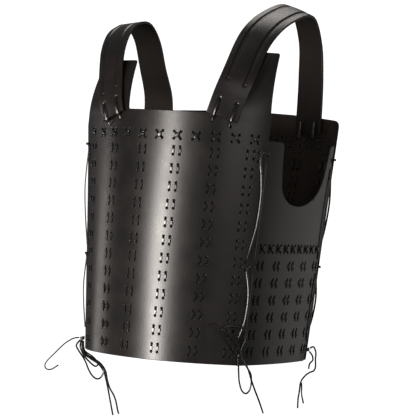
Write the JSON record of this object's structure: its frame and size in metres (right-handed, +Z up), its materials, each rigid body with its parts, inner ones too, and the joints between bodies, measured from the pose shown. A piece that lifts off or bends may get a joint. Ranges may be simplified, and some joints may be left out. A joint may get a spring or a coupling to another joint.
{
  "type": "leather lamellar cuirass",
  "caption": "Sleeveless leather torso armour: stiff front, back and side panels with thong-laced plate pattern, laced at the corners and hung from shoulder straps.",
  "frame": {"origin": "middle of the shoulder line between the two straps, where the wearer's shoulders carry the garment", "axes": "+Z up, the garment's front faces -Y, +X towards the wearer's left"},
  "size_m": [0.3943, 0.3285, 0.6697],
  "materials": {
    "panel_leather": "satin, polished grain side",
    "strap_leather": "satin, grooved",
    "thong": "smooth cut lace"
  },
  "bodies": {
    "root": {"front_panel": "panel_leather", "back_panel": "panel_leather", "side_panel_left": "panel_leather", "side_panel_right": "panel_leather", "strap_left": "strap_leather", "strap_right": "strap_leather", "strap_thong_left_inner": "thong", "rear_thong_left_inner": "thong", "strap_thong_left_outer": "thong", "rear_thong_left_outer": "thong", "strap_thong_right_inner": "thong", "rear_thong_right_inner": "thong", "strap_thong_right_outer": "thong", "rear_thong_right_outer": "thong", "seam_thong_front_left_upper": "thong", "seam_thong_front_left_lower": "thong", "side_thong_front_left_upper": "thong", "side_thong_front_left_lower": "thong", "seam_thong_front_right_upper": "thong", "seam_thong_front_right_lower": "thong", "side_thong_front_right_upper": "thong", "side_thong_front_right_lower": "thong", "seam_thong_back_left_upper": "thong", "seam_thong_back_left_lower": "thong", "side_thong_back_left_upper": "thong", "side_thong_back_left_lower": "thong", "seam_thong_back_right_upper": "thong", "seam_thong_back_right_lower": "thong", "side_thong_back_right_upper": "thong", "side_thong_back_right_lower": "thong", "knot_front_left": "thong", "loop_up_front_left": "thong", "tail_side_front_left": "thong", "loop_down_front_left": "thong", "tail_long_front_left": "thong", "knot_front_right": "thong", "tail_curl_front_right": "thong", "loop_long_front_right": "thong", "loop_short_front_right": "thong", "tail_a_front_right": "thong", "tail_b_front_right": "thong", "knot_back_left": "thong", "band_back_left": "thong", "loop_back_left": "thong", "tail_side_back_left": "thong", "knot_back_right": "thong", "band_back_right": "thong", "loop_back_right": "thong", "tail_side_back_right": "thong"}
  },
  "joints": []
}
